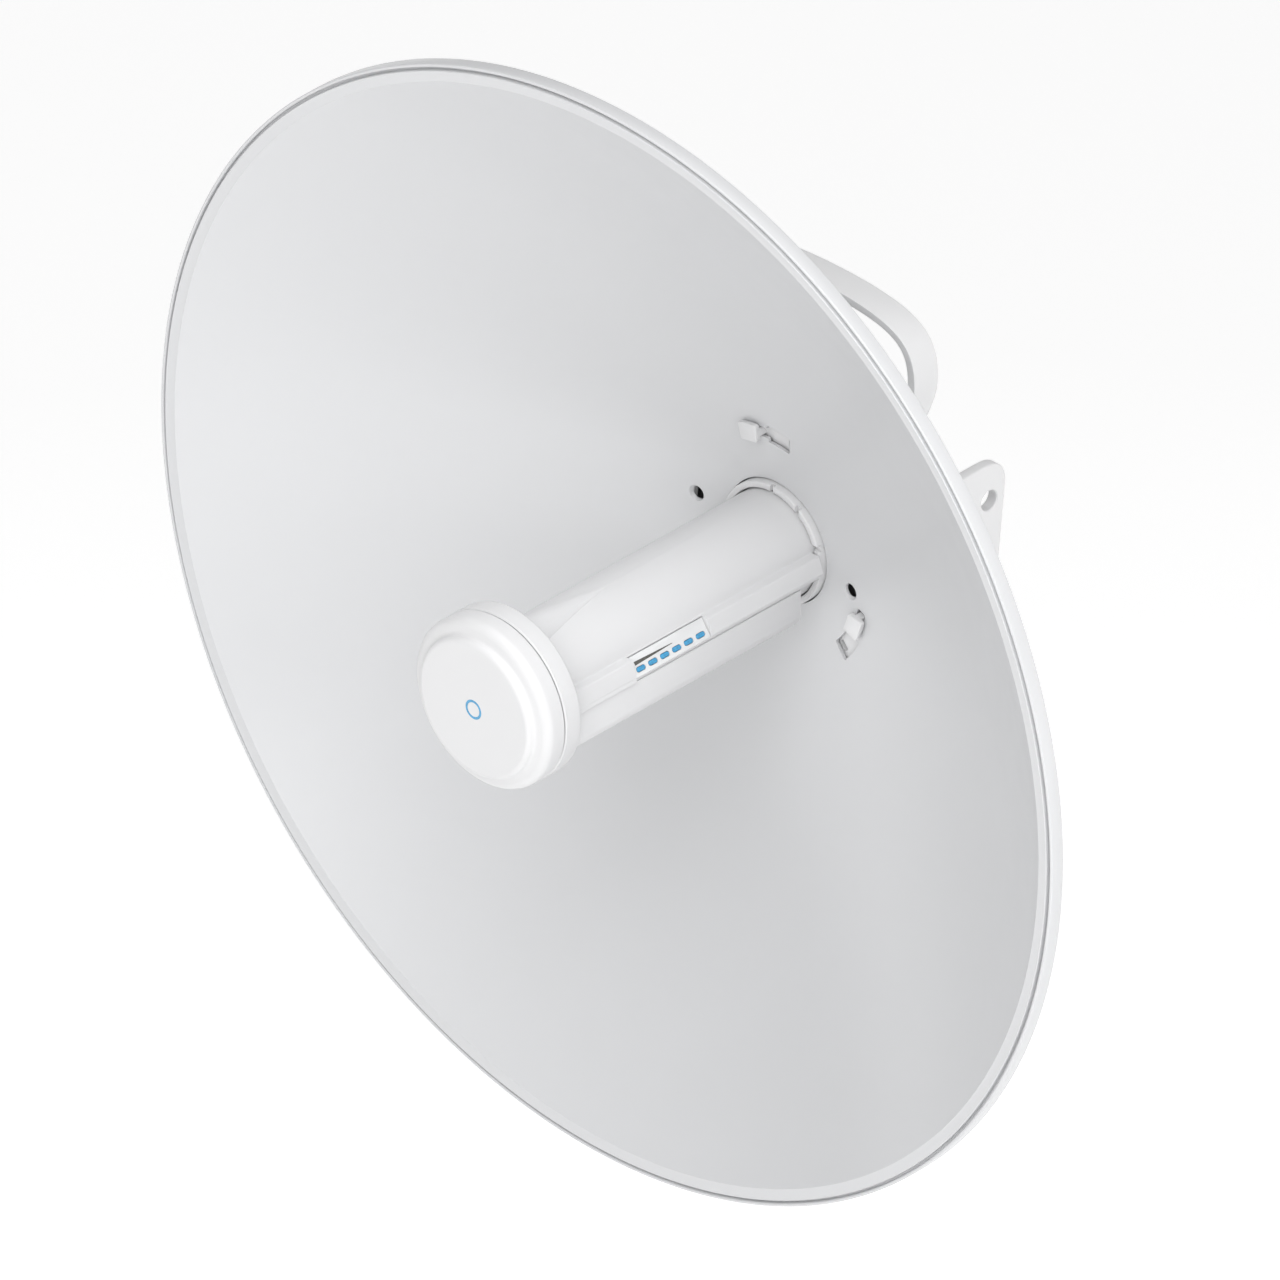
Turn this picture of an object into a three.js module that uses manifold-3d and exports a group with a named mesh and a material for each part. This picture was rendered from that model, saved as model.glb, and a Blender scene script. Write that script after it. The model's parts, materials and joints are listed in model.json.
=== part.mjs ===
// Outdoor wireless bridge: a parabolic dish with a plug-in radio feed, a rear
// housing with two cheeks, and a tilting bracket that clamps to a pole.
//
// Millimetres, +Z up. The antenna's own axes are x to the right, y backwards
// along the dish axis and z up, with y = 0 at the ring of small holes round the
// feed. The exported group moves the origin to the pole's axis, level with the
// middle of the clamp.
import * as THREE from "three";
import { mergeVertices } from "three/addons/utils/BufferGeometryUtils.js";
import Module from "manifold-3d";

const wasm = await Module();
wasm.setup();

// ---------------------------------------------------------------- dimensions
const GAP = 0.3; // play between neighbouring pieces
const DEG = Math.PI / 180;

// Dish: a pressed paraboloid with a flat lip and a turned-back skirt.
const DISH_RADIUS = 261;
const BOWL_RADIUS = 253;
const FOCAL_LENGTH = 149.8;
const DISH_SHEET = 1.5;
const HOLE_CIRCLE = 45;
const HOLE_RADIUS = 3;
const HOLE_ANGLES = [-6, 174];
const HOOK_CIRCLE = 54;
const HOOK_ANGLES = [93.5, -26.5, 213.5];

// Rear housing: a cup behind the dish, two cheeks and a socket for the feed.
const HOUSING_RADIUS = 66;
const HOUSING_BACK = 34;
const WALL = 3;
const SOCKET_BORE = 25.6;
const SOCKET_OUTER = 28.6;
const SOCKET_FRONT = -1.5;
const CHEEK_OUTER = 43;
const CHEEK_SHEET = 5.5;
const PIVOT_Y = 87;
const PIVOT_HOLE = 4.7;
const LOCK_RADIUS = 46;
const LOCK_ANGLE = 230;
const TILT_LIMIT = 18;

// Feed: an arched shell with a shoulder along each side, a drop-out lower
// cover and a round cap.
const ARCH_RADIUS = 25;
const BORE_RADIUS = 21.5;
const SPIGOT_RADIUS = 30;
const TUBE_REAR = 30;
const TUBE_FRONT = -166.5;
const RING_FRONT = -166.7;
const RING_REAR = -157;
const CAP_RADIUS = 39.5;
const CAP_REAR = -167.3;
const CAP_FACE = -182;
const COVER_FRONT = RING_REAR + 3 * GAP;
const COVER_REAR = -14;
const COVER_BOTTOM = -24;
const COVER_HALF = 30;
const COVER_CORNER = 8;
const COVER_SKIN = 2.4;
const SHELL_REAR = -2.2;
const BOARD_HALF = 0.8;
const LED_COUNT = 6;
const LED_FIRST_Y = -111;
const LED_PITCH = 7.2;

// Pole clamp: V jaws for a 38 to 50 mm pole beside the left cheek.
const BRACKET_SHEET = 4;
const BRACKET_INNER = -CHEEK_OUTER - 0.4;
const BRACKET_OUTER = BRACKET_INNER - BRACKET_SHEET;
const POLE_RADIUS = 25;
const POLE_Y = PIVOT_Y + 20;
const POLE_X = BRACKET_OUTER - POLE_RADIUS * Math.SQRT2;
const CLAMP_Z = -78;
const JAW_HALF_HEIGHT = 20;
const V_START = 8;
const V_END = 27;
const JAW_EDGE = 50;
const JAW_BOLT = 42.5;
const BOLT_RADIUS = 3.9;
const BOLT_HOLE = 4.3;

// ------------------------------------------------------------------ materials
const standard = (color, roughness, metalness = 0) =>
  new THREE.MeshStandardMaterial({ color, roughness, metalness });
const MATERIALS = {
  dish: standard(0xe9eaec, 0.32, 0.1),
  shell: standard(0xf1f1f3, 0.4),
  zinc: standard(0xb9bcc0, 0.35, 0.9),
  aluminium: standard(0xc9cbce, 0.4, 0.9),
  brass: standard(0xc8a75a, 0.35, 0.9),
  board: standard(0x1f5a3a, 0.55),
  rubber: standard(0x2a2b2d, 0.8),
  black: standard(0x1b1c1e, 0.5),
  window: standard(0xd7dadd, 0.3),
  led: standard(0x2f9bd6, 0.25),
};

// ------------------------------------------------------------ solid modelling
function solid(geometry) {
  const bare = geometry.index ? geometry.toNonIndexed() : geometry.clone();
  bare.deleteAttribute("normal");
  bare.deleteAttribute("uv");
  const merged = mergeVertices(bare, 1e-3);
  return new wasm.Manifold(
    new wasm.Mesh({
      numProp: 3,
      vertProperties: merged.attributes.position.array,
      triVerts: new Uint32Array(merged.index.array),
    }),
  );
}

function geometryOf(manifold) {
  const mesh = manifold.getMesh();
  const geometry = new THREE.BufferGeometry();
  const positions = new Float32Array(mesh.vertProperties);
  geometry.setAttribute("position", new THREE.BufferAttribute(positions, 3));
  geometry.setIndex(new THREE.BufferAttribute(new Uint32Array(mesh.triVerts), 1));
  geometry.computeVertexNormals();
  return geometry;
}

// A closed profile of [radius, y] points turned about the dish axis.
function turned(profile, segments = 36) {
  const points = profile.map(([r, y]) => new THREE.Vector2(r, y));
  if (THREE.ShapeUtils.area(points) < 0) points.reverse();
  while (points.some((p) => p.x === 0) && !(points[0].x === 0 && points.at(-1).x === 0))
    points.push(points.shift());
  if (points[0].x !== 0) points.push(points[0].clone());
  return solid(new THREE.LatheGeometry(points, segments));
}

// An outline pushed along an axis, from one coordinate to another. Its own two
// axes are (y, z) along x, (x, z) along y and (x, y) along z.
function pushed(shape, axis, from, to, curveSegments = 8) {
  const depth = to - from;
  const g = new THREE.ExtrudeGeometry(shape, { depth, bevelEnabled: false, curveSegments });
  if (axis === "x") {
    g.applyMatrix4(
      new THREE.Matrix4().makeBasis(
        new THREE.Vector3(0, 1, 0),
        new THREE.Vector3(0, 0, 1),
        new THREE.Vector3(1, 0, 0),
      ),
    );
    g.translate(from, 0, 0);
  } else if (axis === "y") {
    g.rotateX(Math.PI / 2);
    g.translate(0, to, 0);
  } else {
    g.translate(0, 0, from);
  }
  return solid(g);
}

const outline = (points) => new THREE.Shape(points.map(([u, v]) => new THREE.Vector2(u, v)));

function block([x0, x1], [y0, y1], [z0, z1]) {
  const g = new THREE.BoxGeometry(x1 - x0, y1 - y0, z1 - z0);
  g.translate((x0 + x1) / 2, (y0 + y1) / 2, (z0 + z1) / 2);
  return solid(g);
}

// A rod along an axis from one coordinate to another, centred on the other two.
function rod(axis, from, to, [u, v], radius, segments = 16, tipRadius = radius) {
  const g = new THREE.CylinderGeometry(tipRadius, radius, to - from, segments);
  g.translate(0, (from + to) / 2, 0);
  if (axis === "x") {
    g.rotateZ(-Math.PI / 2);
    g.translate(0, u, v);
  } else if (axis === "z") {
    g.rotateX(Math.PI / 2);
    g.translate(u, v, 0);
  } else {
    g.translate(u, 0, v);
  }
  return solid(g);
}

// A band between two radii and two angles, in the plane across the dish axis.
function arcBand(inner, outer, fromDeg, toDeg) {
  const shape = new THREE.Shape();
  shape.absarc(0, 0, outer, fromDeg * DEG, toDeg * DEG, false);
  shape.absarc(0, 0, inner, toDeg * DEG, fromDeg * DEG, true);
  return shape;
}

// A slot with round ends that follows an arc about a centre.
function arcSlot([cu, cv], radius, halfWidth, fromDeg, toDeg) {
  const end = (deg) => [cu + radius * Math.cos(deg * DEG), cv + radius * Math.sin(deg * DEG)];
  const shape = new THREE.Shape();
  shape.absarc(cu, cv, radius + halfWidth, fromDeg * DEG, toDeg * DEG, false);
  shape.absarc(...end(toDeg), halfWidth, toDeg * DEG, (toDeg + 180) * DEG, false);
  shape.absarc(cu, cv, radius - halfWidth, toDeg * DEG, fromDeg * DEG, true);
  shape.absarc(...end(fromDeg), halfWidth, (fromDeg + 180) * DEG, (fromDeg + 360) * DEG, false);
  return shape;
}

const polar = (radius, deg) => [radius * Math.cos(deg * DEG), radius * Math.sin(deg * DEG)];

// ----------------------------------------------------------------------- dish
const bowlFront = (r) => -(r * r - HOLE_CIRCLE * HOLE_CIRCLE) / (4 * FOCAL_LENGTH);
const bowlBack = (r) => bowlFront(r) + DISH_SHEET * Math.hypot(1, r / (2 * FOCAL_LENGTH));

function dishReflector() {
  const STEPS = 8;
  const hub = SOCKET_OUTER + 0.6;
  const radii = Array.from({ length: STEPS + 1 }, (_, i) => hub + ((BOWL_RADIUS - hub) * i) / STEPS);
  const lip = bowlFront(BOWL_RADIUS);
  const profile = [
    ...radii.map((r) => [r, bowlFront(r)]),
    [DISH_RADIUS - 1.2, lip + 0.8],
    [DISH_RADIUS, lip + 6.8],
    [DISH_RADIUS - DISH_SHEET, lip + 7],
    [DISH_RADIUS - 2.5, lip + 2.4],
    [BOWL_RADIUS + 0.6, lip + 1.8],
    ...radii.slice(0, -1).reverse().map((r) => [r, bowlBack(r)]),
  ];
  let dish = turned(profile, 64);
  for (const angle of HOLE_ANGLES)
    dish = dish.subtract(rod("y", -20, 20, polar(HOLE_CIRCLE, angle), HOLE_RADIUS, 16));
  for (const angle of HOOK_ANGLES) {
    const entry = arcBand(HOOK_CIRCLE - 4.6, HOOK_CIRCLE + 4.6, angle - 15, angle - 1);
    const neck = arcBand(HOOK_CIRCLE - 2.6, HOOK_CIRCLE + 2.6, angle - 3, angle + 15);
    dish = dish.subtract(pushed(entry, "y", -20, 20, 5)).subtract(pushed(neck, "y", -20, 20, 5));
  }
  return dish;
}

// --------------------------------------------------------------- rear housing
const lockHole = () => {
  const [u, v] = polar(LOCK_RADIUS, LOCK_ANGLE);
  return [PIVOT_Y + u, v];
};

const LATCH_TRAVEL = 3;
const BUTTON_HALF = 7;
const BUTTON_Y = [20.5, 29.5];
const SCREW_ANGLES = [62, 118];
const SCREW_Y = 24.5;
const CABLE_X = [-9, 9];
const CABLE_Z = [-19, -6];

function cheek() {
  const shape = new THREE.Shape();
  shape.moveTo(HOUSING_BACK - 2, -52);
  shape.lineTo(84, -52);
  shape.quadraticCurveTo(91, -52, 91.6, -45);
  shape.lineTo(97, 4);
  shape.quadraticCurveTo(98, 18, 84, 18);
  shape.lineTo(HOUSING_BACK - 2, 18);
  shape.closePath();
  const pivot = new THREE.Path().absarc(PIVOT_Y, 0, PIVOT_HOLE, 0, 360 * DEG, false);
  const slot = arcSlot(
    [PIVOT_Y, 0],
    LOCK_RADIUS,
    BOLT_HOLE,
    LOCK_ANGLE - TILT_LIMIT,
    LOCK_ANGLE + TILT_LIMIT,
  );
  shape.holes.push(pivot, slot);
  return shape;
}

function radialRod(from, to, angle, y, radius, segments = 16) {
  const g = new THREE.CylinderGeometry(radius, radius, to - from, segments);
  g.translate(0, (from + to) / 2, 0);
  g.rotateX(Math.PI / 2);
  g.rotateY((90 - angle) * DEG);
  g.translate(0, y, 0);
  return solid(g);
}

function rearHousing() {
  const inner = HOUSING_RADIUS - WALL;
  const floor = HOUSING_BACK - WALL;
  let housing = turned([
    [0, HOUSING_BACK],
    [HOUSING_RADIUS - 5, HOUSING_BACK],
    [HOUSING_RADIUS - 1.4, HOUSING_BACK - 1.4],
    [HOUSING_RADIUS, HOUSING_BACK - 5],
    [HOUSING_RADIUS, bowlBack(HOUSING_RADIUS) + 0.6],
    [inner, bowlBack(inner) + 0.6],
    [inner, floor - 3],
    [inner - 3, floor],
    [0, floor],
  ]);
  for (const side of [-1, 1]) {
    const faces = [side * CHEEK_OUTER, side * (CHEEK_OUTER - CHEEK_SHEET)].sort((a, b) => a - b);
    housing = housing.add(pushed(cheek(), "x", ...faces, 10));
  }
  const headFront = bowlFront(HOOK_CIRCLE + 5) - 3;
  for (const angle of HOOK_ANGLES) {
    const stem = arcBand(HOOK_CIRCLE - 1.9, HOOK_CIRCLE + 1.9, angle + 2, angle + 13);
    const head = arcBand(HOOK_CIRCLE - 4.1, HOOK_CIRCLE + 4.1, angle + 2, angle + 13);
    housing = housing
      .add(pushed(stem, "y", headFront + 1, floor + 1, 3))
      .add(pushed(head, "y", headFront, headFront + 2.5, 3));
  }
  const latchWindow = block([-BUTTON_HALF - 0.4, BUTTON_HALF + 0.4], [20.1, 29.9], [55, 70]);
  const cableWay = block(CABLE_X, [floor - 1, HOUSING_BACK + 1], CABLE_Z);
  housing = housing.subtract(latchWindow).subtract(cableWay);
  for (const angle of SCREW_ANGLES)
    housing = housing.subtract(radialRod(58, 75, angle, SCREW_Y, 2.3, 12));
  return housing;
}

// The collar the feed plugs into, with locating notches round its front edge.
function feedSocket() {
  const notchY = [SOCKET_FRONT - 1, SOCKET_FRONT + 2];
  const cuts = [
    block([-1, 1], notchY, [15, 32]),
    block([14, 16], notchY, [15, 32]),
    block([20, 30], notchY, [7.5, 10]),
    block([-5.5, 5.5], [22.4, 27.6], [-SOCKET_OUTER - 1, -SOCKET_BORE + 1]),
  ];
  const floor = HOUSING_BACK - WALL;
  let socket = rod("y", SOCKET_FRONT, floor - GAP, [0, 0], SOCKET_OUTER, 48).subtract(
    rod("y", SOCKET_FRONT - 1, floor, [0, 0], SOCKET_BORE, 48),
  );
  for (const cut of cuts) socket = socket.subtract(cut);
  return socket;
}

// A hand-wide hoop over the housing, with a strap that follows the housing's rim.
// The hoop stands at the back of the strap and its corners are fuller than a half ellipse.
const HANDLE_Y = [19, 39.5];
const HOOP_FRONT = 25;
const HOOP_TOP = 120;
const HOOP_HALF = 58;
const HOOP_SHEET = 4;
const STRAP_INNER = HOUSING_RADIUS + 0.5;
const STRAP_OUTER = STRAP_INNER + 4.1;

// One outline of the hoop, from its right foot over the top to its left foot.
function hoopOutline(path, foot, bend, half, top) {
  const [fx, fz] = foot;
  const [bx, bz] = bend;
  path.moveTo(fx, fz);
  path.bezierCurveTo(bx, bz, half, 78, half, 90);
  path.bezierCurveTo(half, 109, half * 0.9, top, 0, top);
  path.bezierCurveTo(-half * 0.9, top, -half, 109, -half, 90);
  path.bezierCurveTo(-half, 78, -bx, bz, -fx, fz);
}

function carryHandle() {
  const outer = new THREE.Shape();
  hoopOutline(outer, polar(STRAP_INNER, 48.7), [50, 66], HOOP_HALF, HOOP_TOP);
  outer.absarc(0, 0, STRAP_INNER, (180 - 48.7) * DEG, 48.7 * DEG, true);
  const hole = new THREE.Path();
  const innerHalf = HOOP_HALF - HOOP_SHEET;
  hoopOutline(hole, polar(STRAP_OUTER, 54.5), [47.5, 68], innerHalf, HOOP_TOP - HOOP_SHEET);
  hole.absarc(0, 0, STRAP_OUTER, (180 - 54.5) * DEG, 54.5 * DEG, true);
  outer.holes.push(hole);
  let handle = pushed(outer, "y", ...HANDLE_Y, 8);
  const front = HANDLE_Y[0] - 1;
  const step = new THREE.Shape();
  step.moveTo(front, 74);
  step.lineTo(HANDLE_Y[0], 74);
  step.lineTo(HOOP_FRONT, 84);
  step.lineTo(HOOP_FRONT, HOOP_TOP + 1);
  step.lineTo(front, HOOP_TOP + 1);
  handle = handle.subtract(pushed(step, "x", -HOOP_HALF - 1, HOOP_HALF + 1));
  handle = handle.subtract(block([-BUTTON_HALF - 1, BUTTON_HALF + 1], [18, 31], [60, 74]));
  for (const angle of SCREW_ANGLES)
    handle = handle.subtract(radialRod(60, 75, angle, SCREW_Y, 2.3, 12));
  return handle;
}

const handleScrew = (angle) =>
  radialRod(59, 72, angle, SCREW_Y, 2, 12).add(
    radialRod(STRAP_OUTER + GAP, STRAP_OUTER + 3, angle, SCREW_Y, 4, 16),
  );

// The release latch: a button under the hoop, a frame round the socket and a
// tooth below it. Pressing the button lowers the whole frame.
function feedLatch() {
  const inner = SOCKET_OUTER + 0.6;
  const outer = inner + 4;
  const frame = new THREE.Shape();
  frame.absarc(0, LATCH_TRAVEL + 0.4, outer, 0, 180 * DEG, false);
  frame.absarc(0, -0.4, outer, 180 * DEG, 360 * DEG, false);
  const clear = new THREE.Path();
  clear.absarc(0, LATCH_TRAVEL + 0.4, inner, 0, 180 * DEG, false);
  clear.absarc(0, -0.4, inner, 180 * DEG, 360 * DEG, false);
  frame.holes.push(clear);
  const y = [23, 27];
  return pushed(frame, "y", ...y, 12)
    .add(block([-4, 4], y, [LATCH_TRAVEL + inner + 2, 60]))
    .add(block([-BUTTON_HALF, BUTTON_HALF], BUTTON_Y, [58, 75]))
    .add(block([-5, 5], y, [-inner - 2, -SOCKET_BORE - GAP]));
}

// ----------------------------------------------------------------------- feed
// Right half of the shell's section, from the arch down over the shoulder. The
// shoulder's foot is lower in front of the lamps than behind them.
const SHOULDER_TOP = [28.6, 6.6];
const FRONT_FOOT = [31.6, -3.2];
const REAR_FOOT = [31.2, -1.2];
const SHELL_BOTTOM = [29.4, -3.8];
const ARCH_FOOT_ANGLE = 14.8;

function shellSection(foot) {
  const mirrored = ([x, z]) => [-x, z];
  const underFoot = [SHELL_BOTTOM[0] + 0.2, Math.max(foot[1] - 0.6, SHELL_BOTTOM[1] + 0.1)];
  const shape = new THREE.Shape();
  shape.absarc(0, 0, ARCH_RADIUS, ARCH_FOOT_ANGLE * DEG, (180 - ARCH_FOOT_ANGLE) * DEG, false);
  shape.lineTo(...mirrored(SHOULDER_TOP));
  shape.lineTo(...mirrored(foot));
  shape.lineTo(...mirrored(underFoot));
  shape.lineTo(...mirrored(SHELL_BOTTOM));
  shape.lineTo(...SHELL_BOTTOM);
  shape.lineTo(...underFoot);
  shape.lineTo(...foot);
  shape.lineTo(...SHOULDER_TOP);
  shape.closePath();
  return shape;
}

// A half-cone swelling on top, which sinks into the arch away from the ring.
const SWELL_RADIUS = 13.8;
const SWELL_CENTRE = 16.5;
const SWELL_TIP = -99;

function swelling(front) {
  const length = SWELL_TIP - front;
  const rise = (ARCH_RADIUS - 0.3 - SWELL_CENTRE) / length;
  const shear = new THREE.Matrix4().set(1, 0, 0, 0, 0, 1, 0, 0, 0, rise, 1, 0, 0, 0, 0, 1);
  const g = new THREE.CylinderGeometry(0.01, SWELL_RADIUS, length, 28);
  g.translate(0, length / 2, 0);
  g.applyMatrix4(shear);
  g.translate(0, front, SWELL_CENTRE);
  return solid(g);
}

function feedTube() {
  const front = RING_REAR + GAP;
  const bore = rod("y", TUBE_FRONT - 1, TUBE_REAR - WALL, [0, 0], BORE_RADIUS, 36);
  let tube = pushed(shellSection(REAR_FOOT), "y", front, SHELL_REAR, 16)
    .add(pushed(shellSection(FRONT_FOOT), "y", front, PANEL_SPAN[0], 16))
    .add(rod("y", TUBE_FRONT, front + GAP, [0, 0], SPIGOT_RADIUS, 36))
    .add(rod("y", COVER_REAR, TUBE_REAR, [0, 0], ARCH_RADIUS, 36))
    .add(swelling(front))
    .subtract(bore);
  for (const side of [-1, 1]) {
    const ledge = [side * 22.5, side * 19.4].sort((a, b) => a - b);
    tube = tube
      .add(block(ledge, [-146, 20], [BOARD_HALF + GAP, 5]))
      .add(block(ledge, [-146, 20], [SHELL_BOTTOM[1], -BOARD_HALF - GAP]));
  }
  const cuts = [
    block([-5.5, 5.5], [22.4, 27.6], [-27, -ARCH_RADIUS + 1.2]),
    block(CABLE_X, [TUBE_REAR - 5, TUBE_REAR + 1], CABLE_Z),
    panelBlock(PANEL_SPAN, [-7, 5], [-1.3, 8]),
    panelBlock([LED_FIRST_Y - 3, LED_LAST_Y + 3], [LED_V - 1.4, LED_V + 1.4], [-2.6, 1]),
    block([20, 28.2], [LED_FIRST_Y - 3, LED_LAST_Y + 3], [-0.7, 2.1]),
  ];
  for (const cut of cuts) tube = tube.subtract(cut);
  return tube;
}

// The lamp panel slants across the right shoulder's corner: u runs along the
// shell, v up the panel and w out of it, from the middle of its face.
const LED_LAST_Y = LED_FIRST_Y + (LED_COUNT - 1) * LED_PITCH;
const LED_V = -1.9;
const PANEL_SPAN = [LED_FIRST_Y - 4.4, LED_LAST_Y + 5];
const PANEL_TOP = [25.4, 6.4];
const PANEL_FOOT = [31, -1.4];
const PANEL_TILT = Math.atan2(PANEL_FOOT[0] - PANEL_TOP[0], PANEL_TOP[1] - PANEL_FOOT[1]);
const PANEL_HALF = Math.hypot(PANEL_FOOT[0] - PANEL_TOP[0], PANEL_TOP[1] - PANEL_FOOT[1]) / 2;
const PANEL_FRAME = new THREE.Matrix4()
  .makeBasis(
    new THREE.Vector3(0, 1, 0),
    new THREE.Vector3(-Math.sin(PANEL_TILT), 0, Math.cos(PANEL_TILT)),
    new THREE.Vector3(Math.cos(PANEL_TILT), 0, Math.sin(PANEL_TILT)),
  )
  .setPosition((PANEL_TOP[0] + PANEL_FOOT[0]) / 2, 0, (PANEL_TOP[1] + PANEL_FOOT[1]) / 2);

function panelBlock([u0, u1], [v0, v1], [w0, w1]) {
  const g = new THREE.BoxGeometry(u1 - u0, v1 - v0, w1 - w0);
  g.translate((u0 + u1) / 2, (v0 + v1) / 2, (w0 + w1) / 2);
  g.applyMatrix4(PANEL_FRAME);
  return solid(g);
}

const ledY = (i) => LED_FIRST_Y + i * LED_PITCH;
const ledLens = (y) => panelBlock([y - 2.5, y + 2.5], [LED_V - 1, LED_V + 1], [-2.3, 0.1]);

function ledWindow() {
  const span = [PANEL_SPAN[0] + GAP, PANEL_SPAN[1] - GAP];
  let window = panelBlock(span, [-PANEL_HALF, PANEL_HALF - 0.3], [-1, 0]);
  for (let i = 0; i < LED_COUNT; i++) {
    const y = ledY(i);
    window = window.subtract(
      panelBlock([y - 2.8, y + 2.8], [LED_V - 1.3, LED_V + 1.3], [-3, 1]),
    );
  }
  return window;
}

// One clear bar carries the light of the six lamps out to their lenses.
const lightGuide = () => block([22, 26.6], [LED_FIRST_Y - 2.7, LED_LAST_Y + 2.7], [-0.3, 1.7]);

// A cover section is a round-cornered trough, open at the top.
function troughSection(inset) {
  const half = COVER_HALF - inset;
  const bottom = COVER_BOTTOM + inset;
  const corner = COVER_CORNER - inset;
  const shape = new THREE.Shape();
  shape.moveTo(half, SHELL_BOTTOM[1] - GAP + (inset > 0 ? 1 : 0));
  shape.lineTo(-half, SHELL_BOTTOM[1] - GAP + (inset > 0 ? 1 : 0));
  shape.absarc(-half + corner, bottom + corner, corner, 180 * DEG, 270 * DEG, false);
  shape.absarc(half - corner, bottom + corner, corner, 270 * DEG, 360 * DEG, false);
  shape.closePath();
  return shape;
}

// The front wall fits round the horn; the rear end is open for a cable.
function lowerCover() {
  const inside = COVER_FRONT + COVER_SKIN;
  const trough = pushed(troughSection(0), "y", COVER_FRONT, COVER_REAR - GAP, 6);
  const hollow = pushed(troughSection(COVER_SKIN), "y", inside, COVER_REAR + 1, 6);
  const hornHole = rod("y", COVER_FRONT - 1, inside + 1, [0, 0], BORE_RADIUS, 36);
  return trough.subtract(hollow).subtract(hornHole);
}

const capRing = () =>
  turned([
    [SPIGOT_RADIUS + GAP, RING_FRONT],
    [CAP_RADIUS, RING_FRONT],
    [CAP_RADIUS, RING_REAR - 1.2],
    [CAP_RADIUS - 1.2, RING_REAR],
    [SPIGOT_RADIUS + GAP, RING_REAR],
  ]);

const feedCap = () =>
  turned([
    [0, CAP_FACE],
    [31, CAP_FACE],
    [32.4, CAP_FACE + 0.6],
    [33, CAP_FACE + 2],
    [33.4, CAP_FACE + 3.6],
    [37, CAP_FACE + 4.3],
    [38.8, CAP_FACE + 5.4],
    [CAP_RADIUS, CAP_FACE + 7.4],
    [CAP_RADIUS, CAP_REAR],
    [37.1, CAP_REAR],
    [36.7, CAP_FACE + 8],
    [31, CAP_FACE + 6.2],
    [30, CAP_FACE + 2.6],
    [0, CAP_FACE + 2.6],
  ]);

const capSeal = () =>
  turned([
    [32, RING_FRONT - 2.6],
    [34.4, RING_FRONT - 2.6],
    [34.4, RING_FRONT - GAP],
    [32, RING_FRONT - GAP],
  ]);

const subReflector = () =>
  turned([
    [0, CAP_FACE + 3],
    [28, CAP_FACE + 3],
    [28, CAP_FACE + 5],
    [16, CAP_FACE + 5.6],
    [0, CAP_FACE + 9],
  ]);

const dielectricCone = () =>
  turned([
    [0, CAP_FACE + 9.4],
    [12, CAP_FACE + 6.8],
    [24, CAP_FACE + 5.8],
    [9, -163],
    [9, -156],
    [0, -156],
  ]);

const feedHorn = () =>
  turned([
    [12.4, -161],
    [11.4, -163],
    [9.6, -160],
    [9.6, -152],
    [0, -152],
    [0, -148],
    [21, -148],
    [21, -151],
    [12.4, -151],
  ]);

const circuitBoard = () => block([-21, 21], [-147.4, 18], [-BOARD_HALF, BOARD_HALF]);
const boardTop = BOARD_HALF + GAP;
const rfShield = () => block([-16, 16], [-138, -72], [boardTop, 8]);

function heatSink() {
  let sink = block([-16, 16], [-64, -12], [boardTop, 4]);
  for (let fin = 0; fin < 5; fin++) {
    const x = -14 + fin * 7;
    sink = sink.add(block([x - 1, x + 1], [-64, -12], [3, 14]));
  }
  return sink;
}

const JACK = { x: [-8, 8], y: [-52, -31], z: [-14.8, -boardTop] };
const ethernetJack = () =>
  block(JACK.x, JACK.y, JACK.z).subtract(block([-5.9, 5.9], [-46, -30], [-12.4, -4.4]));

const RESET = { x: 16, y: -41 };
const resetSwitch = () =>
  block([RESET.x - 3, RESET.x + 3], [RESET.y - 3, RESET.y + 3], [-5, -boardTop]).subtract(
    rod("z", -6, -2.6, [RESET.x, RESET.y], 2),
  );
const resetButton = () => rod("z", -7, -3.8, [RESET.x, RESET.y], 1.7, 16);

// ----------------------------------------------------------------- pole clamp
// Half of a jaw's 90 degree V, whose two faces would meet at apexX.
function jawSection(apexX, direction) {
  const point = (depth, across) => (side) => [apexX + direction * depth, POLE_Y + side * across];
  const corners = [
    point(V_START, V_START),
    point(V_END, V_END),
    point(V_END, JAW_EDGE),
    point(-3, JAW_EDGE),
    point(-3, V_START),
  ];
  return (side) => outline(corners.map((corner) => corner(side)));
}

// The plate reaches forward to the lock bolt and up to the pivot bolt.
function poleBracket() {
  const [lockY, lockZ] = lockHole();
  const top = CLAMP_Z + JAW_HALF_HEIGHT;
  const bottom = CLAMP_Z - JAW_HALF_HEIGHT;
  const plate = new THREE.Shape();
  plate.moveTo(POLE_Y - JAW_EDGE, bottom);
  plate.lineTo(POLE_Y + JAW_EDGE, bottom);
  plate.lineTo(POLE_Y + JAW_EDGE, top);
  plate.quadraticCurveTo(PIVOT_Y + 22, CLAMP_Z + 30, PIVOT_Y + 15, 0);
  plate.absarc(PIVOT_Y, 0, 15, 0, 150 * DEG, false);
  plate.lineTo(lockY - 8, lockZ + 5);
  plate.absarc(lockY, lockZ, 9, 150 * DEG, 240 * DEG, false);
  plate.closePath();
  const section = jawSection(BRACKET_OUTER, -1);
  let bracket = pushed(plate, "x", BRACKET_OUTER, BRACKET_INNER, 10);
  for (const side of [-1, 1]) {
    bracket = bracket.add(pushed(section(side), "z", bottom, top));
    const centre = [POLE_Y + side * JAW_BOLT, CLAMP_Z];
    bracket = bracket.subtract(rod("x", -120, -40, centre, BOLT_HOLE));
  }
  for (const centre of [[PIVOT_Y, 0], lockHole()])
    bracket = bracket.subtract(rod("x", -60, -40, centre, BOLT_HOLE));
  return bracket;
}

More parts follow.
